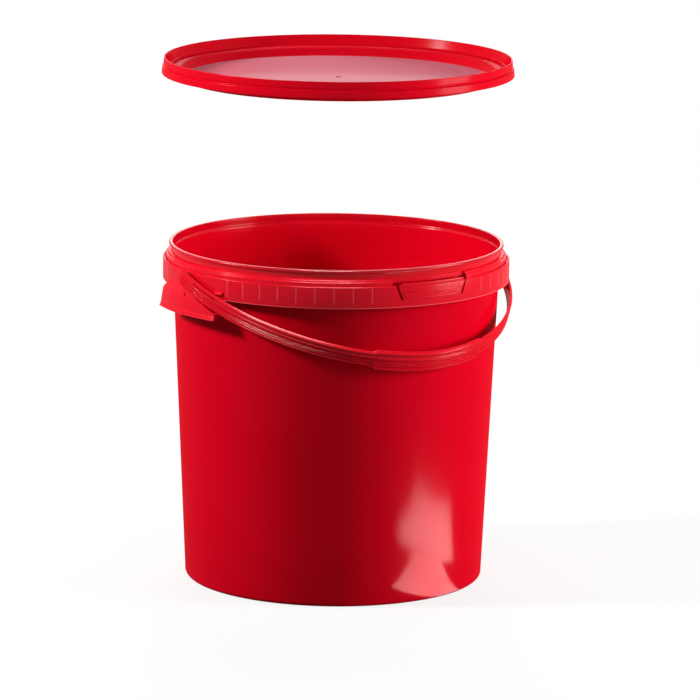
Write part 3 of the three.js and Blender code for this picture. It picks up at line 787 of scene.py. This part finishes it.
def makeLid():
    d, skin, top = lid, lid["skin"], lid["topRadius"]
    groove, skirt, snap, height = d["grooveDepth"], d["skirtRadius"], d["snapRadius"], d["height"]
    ledge, ledgeIn, panel, low = d["ledgeDepth"], d["ledgeInner"], d["panelRadius"], d["panelDepth"]
    seat = ledge + d["seatRecess"] + skin
    down = [
        (0, low + skin, 0), (panel + 0.8, low + skin, 1.4), (ledgeIn + 1.6, ledge + 4.6, 1.2),
        (ledgeIn + 3.2, seat, 0.8), (snap, seat, 0.3), (snap, height + 1, 0.3),
        (snap + skin, height + 1, 0.3), (snap + skin + 0.3, ledge + 0.1, 0.4), (top - 1, groove + 2, 0.4),
        (skirt - skin, height, 0.3), (skirt, height, 0.5), (skirt - 0.6, groove + 1.5, 0.45),
        (top - 0.3, groove + 0.8, 0.3), (top - 0.3, groove + 0.1, 0.3), (top + 0.5, groove - 0.7, 0.35),
        (top, 0, 0.45), (top - 1.3, 0, 0.45), (d["ledgeOuter"] + 0.4, ledge, 1.1),
        (ledgeIn + 3.4, ledge + 0.5, 1.6), (ledgeIn + 0.2, ledge + 2.6, 1.6), (panel, low, 0.9), (0, low, 0),
    ]
    corners = [(radius, lidTop - depth, rounding) for radius, depth, rounding in down]
    piece = meshFrom(spinWhole(corners, d["steps"]), "lidShell")
    finishPiece(piece, "lid", lidRed)


def makeLidPanel():
    # the satin face of the panel, a thin disc sunk into the shell
    z = lidTop - lid["panelDepth"]
    edge, low, high = lid["panelRadius"] - 0.3, z - lid["panelSkin"], z + 0.12
    corners = [(0, low, 0), (edge, low, 0), (edge, high, 0.1), (0, high, 0)]
    finishPiece(meshFrom(spinWhole(corners, lid["steps"]), "lidPanel"), "lid", panelRed)


def makeGate():
    # the small mark that the mould's gate leaves at the middle of the panel
    z = lidTop - lid["panelDepth"]
    rim = lid["gateRadius"]
    corners = [(0, z - 0.3, 0), (rim, z - 0.3, 0), (rim, z + 0.3, 0.15), (rim * 0.7, z + 0.35, 0.15),
               (rim * 0.5, z + 0.2, 0.1), (0, z + 0.2, 0)]
    finishPiece(meshFrom(spinWhole(corners, 40), "lidGate"), "lid", gateRed)


makeWall(); print("wall made")
makeCollar()
makeTabRim()
makeTabRidges()
makeRibs(); print("collar made")
makeShields()
makeSlitMarks()
makeBosses()
makeLugs(); print("shields made")
makeStrap()
makeTeeth()
makePins(); print("handle made")
makeLid()
makeLidPanel()
makeGate(); print("lid made")


# Floor, light and camera

stage = {"floorHalf": 14.0, "floorDrop": 0.0004, "shadowFrom": 0.3, "shadowTo": 1.3, "worldFill": 0.12}


def whiteRays(tree):
    # 1 for camera, mirror and see-through rays, which find plain white
    path = tree.nodes.new("ShaderNodeLightPath")
    seen = addMaths(tree, "MAXIMUM", path.outputs["Is Camera Ray"], path.outputs["Is Glossy Ray"])
    return addMaths(tree, "MAXIMUM", seen, path.outputs["Is Transmission Ray"])


def floorPaper():
    # shows the object's shadow near it, and fades to plain white further out
    material = bpy.data.materials.new("pale floor")
    material.use_nodes = True
    tree = material.node_tree
    tree.nodes.clear()
    paper = tree.nodes.new("ShaderNodeBsdfDiffuse")
    white = tree.nodes.new("ShaderNodeEmission")
    mix = tree.nodes.new("ShaderNodeMixShader")
    out = tree.nodes.new("ShaderNodeOutputMaterial")
    seen = whiteRays(tree)
    fade = addFade(tree, splitPlace(tree)[3], stage["shadowFrom"], stage["shadowTo"], 0.8, 1.0)
    shade = addColorMix(tree, seen, (0.18, 0.18, 0.18), (0.9, 0.9, 0.9))    # throws little light back
    tree.links.new(shade, paper.inputs["Color"])
    tree.links.new(addMaths(tree, "MULTIPLY", seen, fade), mix.inputs[0])
    tree.links.new(paper.outputs[0], mix.inputs[1])
    tree.links.new(white.outputs[0], mix.inputs[2])
    tree.links.new(mix.outputs[0], out.inputs[0])
    return material


def paleFloor():
    bm = bmesh.new()
    bmesh.ops.create_grid(bm, x_segments=1, y_segments=1, size=stage["floorHalf"])
    bmesh.ops.translate(bm, vec=(0, 0, -stage["floorDrop"]), verts=bm.verts[:])
    floor = meshFrom(bm, "floor")
    floor.data.materials.append(floorPaper())


def softWorld():
    # a low even fill, which the camera and mirrors see as white
    world = bpy.data.worlds.new("studio")
    bpy.context.scene.world = world
    world.use_nodes = True
    tree = world.node_tree
    tree.nodes.clear()
    mix = tree.nodes.new("ShaderNodeMixShader")
    out = tree.nodes.new("ShaderNodeOutputWorld")
    tree.links.new(whiteRays(tree), mix.inputs[0])
    for socket, strength in ((mix.inputs[1], stage["worldFill"]), (mix.inputs[2], 1)):
        fill = tree.nodes.new("ShaderNodeBackground")
        fill.inputs["Color"].default_value = (1, 1, 1, 1)
        fill.inputs["Strength"].default_value = strength
        tree.links.new(fill.outputs[0], socket)
    tree.links.new(mix.outputs[0], out.inputs[0])


viewSide = -33.6                                   # where the camera stands, from -Y towards +X


def sideways(azimuth, elevation=0.0):
    # a unit direction, azimuth counted from the camera's side
    a, e = math.radians(viewSide + azimuth), math.radians(elevation)
    return Vector((math.sin(a) * math.cos(e), -math.cos(a) * math.cos(e), math.sin(e)))


def receivers(name, wanted):
    # the pieces that a lamp is kept to
    group = bpy.data.collections.new(name)
    for piece in bpy.data.objects:
        if piece.type == "MESH" and wanted(piece.name):
            group.objects.link(piece)
    return group


def addLamp(name, place, towards, size, power):
    light = bpy.data.lights.new(name, "AREA")
    light.shape = "RECTANGLE"
    light.size, light.size_y = size
    light.energy = power
    lamp = bpy.data.objects.new(name, light)
    bpy.context.scene.collection.objects.link(lamp)
    lamp.location = place
    lamp.rotation_euler = (towards - place).to_track_quat("-Z", "Y").to_euler()
    lamp.visible_camera = False
    return lamp


softboxes = {"aim": (0, 0, 0.2), "distance": 2.0}


def addSoftbox(name, azimuth, elevation, size, power, group=None):
    aim = Vector(softboxes["aim"])
    place = aim + sideways(azimuth, elevation) * softboxes["distance"]
    lamp = addLamp(name, place, aim, size, power)
    if group:
        lamp.light_linking.receiver_collection = group
    return lamp


def addGlint(name, azimuth, near, far, width, power, slant=0):
    # a strip lying by the bucket's foot that only its glossy wall shows
    foot = sideways(azimuth) * 0.145
    middle = foot + sideways(2 * azimuth) * (near + far) / 2
    middle.z = 0.002
    lamp = addLamp(name, middle, middle + Vector((0, 0, 1)), (width, far - near), power)
    lamp.rotation_euler = (math.pi, 0, math.radians(viewSide + 2 * azimuth + slant))
    lamp.visible_diffuse = False
    lamp.light_linking.receiver_collection = glossyWall


# the lists are made before the floor, so that it is in none of them
glossyWall = receivers("glossy wall", lambda name: name == "bucketWall")
belowLid = receivers("below the lid", lambda name: not name.startswith("lid"))
onlyLid = receivers("lid", lambda name: name.startswith("lid"))
trim = receivers("trim", lambda name: name != "bucketWall" and not name.startswith("lid"))
paleFloor()
softWorld()
addSoftbox("key", -79, 30, (0.3, 0.3), 40)
addSoftbox("right softbox", 79, 12, (0.8, 1.0), 45)
addSoftbox("top softbox", 170, 60, (1.2, 0.8), 12)
addSoftbox("back softbox", 180, 20, (1.0, 0.8), 14)
addSoftbox("front softbox", 10, 70, (0.8, 0.5), 15, trim)
addSoftbox("lid softbox", 0, 8, (0.8, 0.5), 9, onlyLid).visible_glossy = False
addSoftbox("edge light", -10, 66, (1.0, 0.6), 160, belowLid).visible_diffuse = False    # highlights alone
addGlint("glint near", 38.9, 0.0, 0.11, 0.085, 3.8)
addGlint("glint far", 38.9, 0.12, 0.31, 0.21, 15.0, 16)
print("lights set")

camera = {
    "target": (0, 0, 0.160), "distance": 4.6902, "elevation": 11.922, "lens": 254.66, "roll": 0.6544,
    "aim": (0.0178, 0.0015, 0.2127),
}


def placeCamera():
    back = sideways(0, camera["elevation"])
    data = bpy.data.cameras.new("camera")
    data.lens = camera["lens"]
    data.sensor_width = 36
    data.clip_end = 100
    eye = bpy.data.objects.new("camera", data)
    bpy.context.scene.collection.objects.link(eye)
    eye.location = Vector(camera["target"]) + back * camera["distance"]
    look = (Vector(camera["aim"]) - eye.location).to_track_quat("-Z", "Y").to_matrix()
    roll = Matrix.Rotation(math.radians(camera["roll"]), 3, "Z")
    eye.rotation_euler = (look @ roll).to_euler()
    bpy.context.scene.camera = eye


placeCamera()
bpy.context.scene.view_settings.view_transform = "Standard"
print("camera set")
